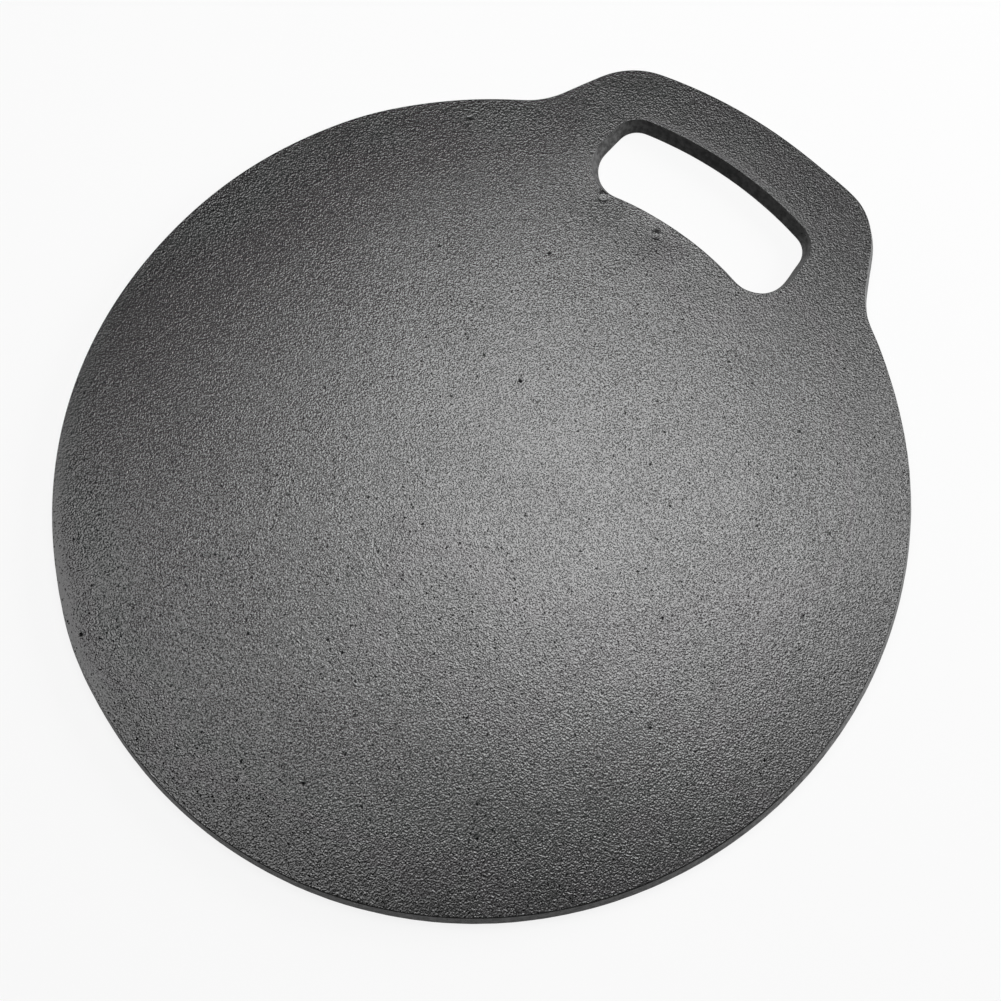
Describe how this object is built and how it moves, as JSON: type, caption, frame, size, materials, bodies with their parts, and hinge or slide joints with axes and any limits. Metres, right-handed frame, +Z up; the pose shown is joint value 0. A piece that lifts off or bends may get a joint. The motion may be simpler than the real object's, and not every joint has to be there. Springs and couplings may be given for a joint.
{
  "type": "cast iron pizza stone",
  "caption": "Flat round cast iron baking plate for pizza, one casting with a handle that carries a finger slot.",
  "frame": {"origin": "centre of the disc on the underside, the face that the plate rests on", "axes": "+Z up out of the cooking face, +Y from the disc's centre along the handle, +X to the right seen from above"},
  "size_m": [0.356, 0.383, 0.007],
  "materials": {
    "seasoned_iron": "dark grey seasoned sand-cast face, fine grain, satin"
  },
  "bodies": {
    "root": {"cast_iron_plate": "seasoned_iron"}
  },
  "joints": []
}
